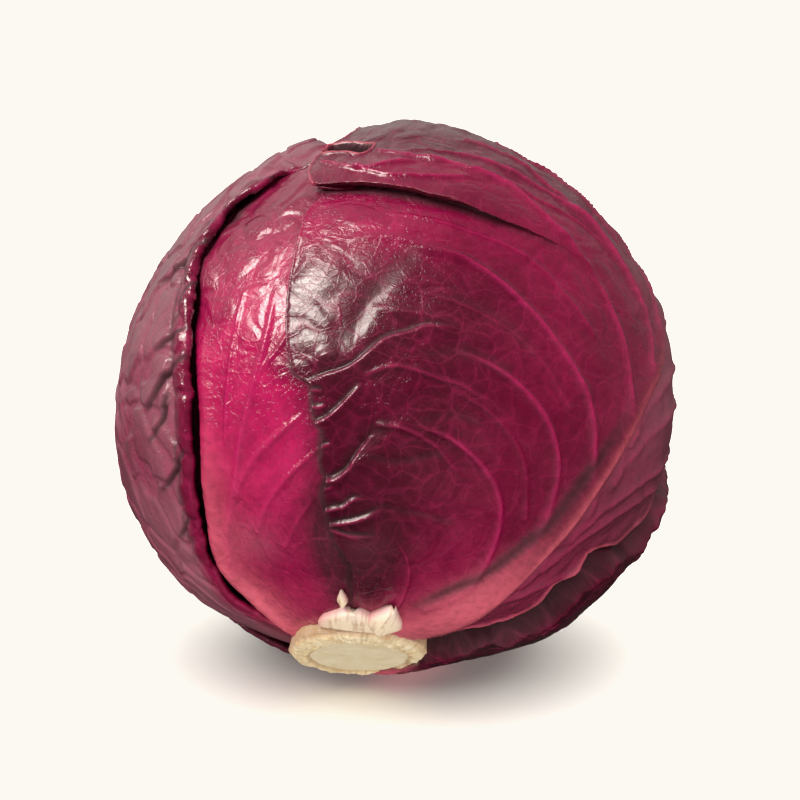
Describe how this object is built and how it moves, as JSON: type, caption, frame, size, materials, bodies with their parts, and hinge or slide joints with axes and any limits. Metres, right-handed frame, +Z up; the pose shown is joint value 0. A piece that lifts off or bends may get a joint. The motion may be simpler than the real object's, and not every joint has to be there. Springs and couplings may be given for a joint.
{
  "type": "red cabbage head",
  "caption": "Whole red cabbage head lying on its side, with overlapping wrapper leaves, thick pink midribs and a pale cut stem.",
  "frame": {"origin": "on the bench, under the middle of the head's bounding box", "axes": "+Z up; the cut stem faces -Y and down, a little to -X; +X is to the right as seen from the stem's side"},
  "size_m": [0.1584, 0.1568, 0.1507],
  "materials": {
    "leaf_skin": "waxy purple leaf with pink veins, satin",
    "inner_leaf": "purple leaf with white flesh, satin",
    "stem_flesh": "cut fibrous stem, cream, dull",
    "stub_flesh": "cut leaf bases, pale pink to cream, dull"
  },
  "bodies": {
    "root": {"wrapper_leaf_back": "leaf_skin", "wrapper_leaf_left": "leaf_skin", "wrapper_leaf_right": "leaf_skin", "wrapper_leaf_front": "leaf_skin", "inner_leaf_01": "inner_leaf", "inner_leaf_02": "inner_leaf", "inner_leaf_03": "inner_leaf", "inner_leaf_04": "inner_leaf", "inner_leaf_05": "inner_leaf", "inner_leaf_06": "inner_leaf", "inner_leaf_07": "inner_leaf", "inner_leaf_08": "inner_leaf", "inner_leaf_09": "inner_leaf", "inner_leaf_10": "inner_leaf", "inner_leaf_11": "inner_leaf", "inner_leaf_12": "inner_leaf", "heart": "inner_leaf", "stem": "stem_flesh", "cut_leaf_base_front": "stub_flesh", "cut_leaf_stub_right": "stub_flesh", "cut_leaf_stub_left": "stub_flesh", "cut_leaf_base_back": "stub_flesh"}
  },
  "joints": []
}
